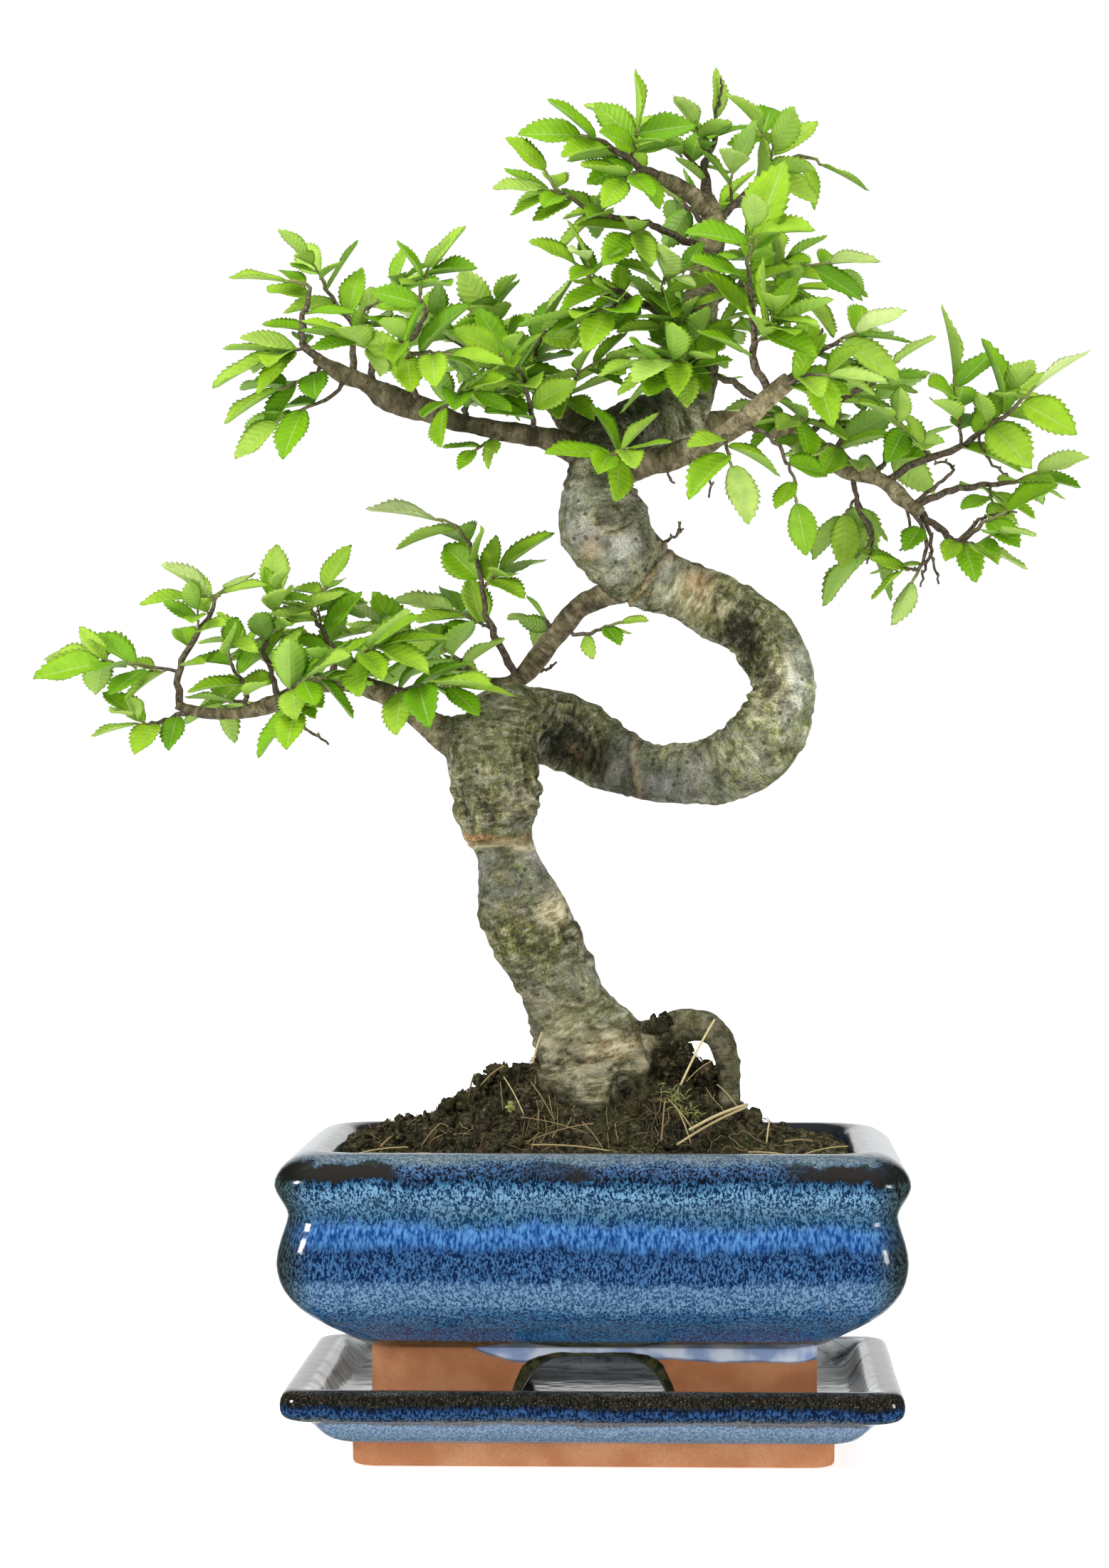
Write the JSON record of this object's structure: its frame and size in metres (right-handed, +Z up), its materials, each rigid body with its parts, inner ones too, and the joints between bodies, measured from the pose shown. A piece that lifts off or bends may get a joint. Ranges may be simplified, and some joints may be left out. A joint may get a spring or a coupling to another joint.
{
  "type": "bonsai tree",
  "caption": "Small-leaved elm bonsai with an S-curved trunk, tiered leafy branches and an arched root, in a glazed rectangular pot on a matching drip saucer.",
  "frame": {"origin": "centre of the saucer's flat underside, on the surface that the saucer stands on", "axes": "+Z up along the tree, X along the long side of the pot, and the front of the tree, as pictured, faces -Y"},
  "size_m": [0.3534, 0.1536, 0.4593],
  "materials": {
    "saucer": "gloss",
    "pot": "gloss",
    "soil": "matte",
    "bark": "matte",
    "leaf": "satin"
  },
  "bodies": {
    "root": {"saucer": "saucer", "pot": "pot", "soil": "soil", "trunk": "bark", "spray_left_tip": "leaf", "spray_left_low_tip": "leaf", "spray_left_upright": "leaf", "spray_left_inner_upright": "leaf", "spray_left_low_upright": "leaf", "spray_left_front": "leaf", "spray_left_front_high": "leaf", "spray_left_front_inner": "leaf", "spray_left_under": "leaf", "spray_shoulder_upright": "leaf", "spray_shoulder_back": "leaf", "spray_shoulder_small": "leaf", "spray_shoulder_inner": "leaf", "spray_upper_left_tip": "leaf", "spray_upper_left_low": "leaf", "spray_upper_left_under": "leaf", "spray_upper_left_hook": "leaf", "spray_upper_left_back": "leaf", "spray_upper_left_front": "leaf", "spray_upper_left_middle": "leaf", "spray_upper_left_inner": "leaf", "spray_upper_left_front_low": "leaf", "spray_upper_left_small": "leaf", "spray_middle_left_tip": "leaf", "spray_middle_left_upright": "leaf", "spray_middle_left_inner": "leaf", "spray_middle_left_back": "leaf", "spray_middle_left_front": "leaf", "spray_centre_left": "leaf", "spray_centre_front": "leaf", "spray_centre_back": "leaf", "spray_centre_right": "leaf", "spray_front_right_top": "leaf", "spray_front_right_inner": "leaf", "spray_front_right_hanging": "leaf", "spray_front_right_tip": "leaf", "spray_front_right_under": "leaf", "spray_front_right_low": "leaf", "spray_front_centre": "leaf", "spray_right_tip": "leaf", "spray_right_low_tip": "leaf", "spray_right_end": "leaf", "spray_right_hanging": "leaf", "spray_right_hanging_inner": "leaf", "spray_right_back": "leaf", "spray_right_top": "leaf", "spray_right_inner": "leaf", "spray_right_back_low": "leaf", "spray_crown_left": "leaf", "spray_crown_top": "leaf", "spray_crown_right": "leaf", "spray_crown_low_left": "leaf", "spray_crown_back": "leaf"}
  },
  "joints": []
}
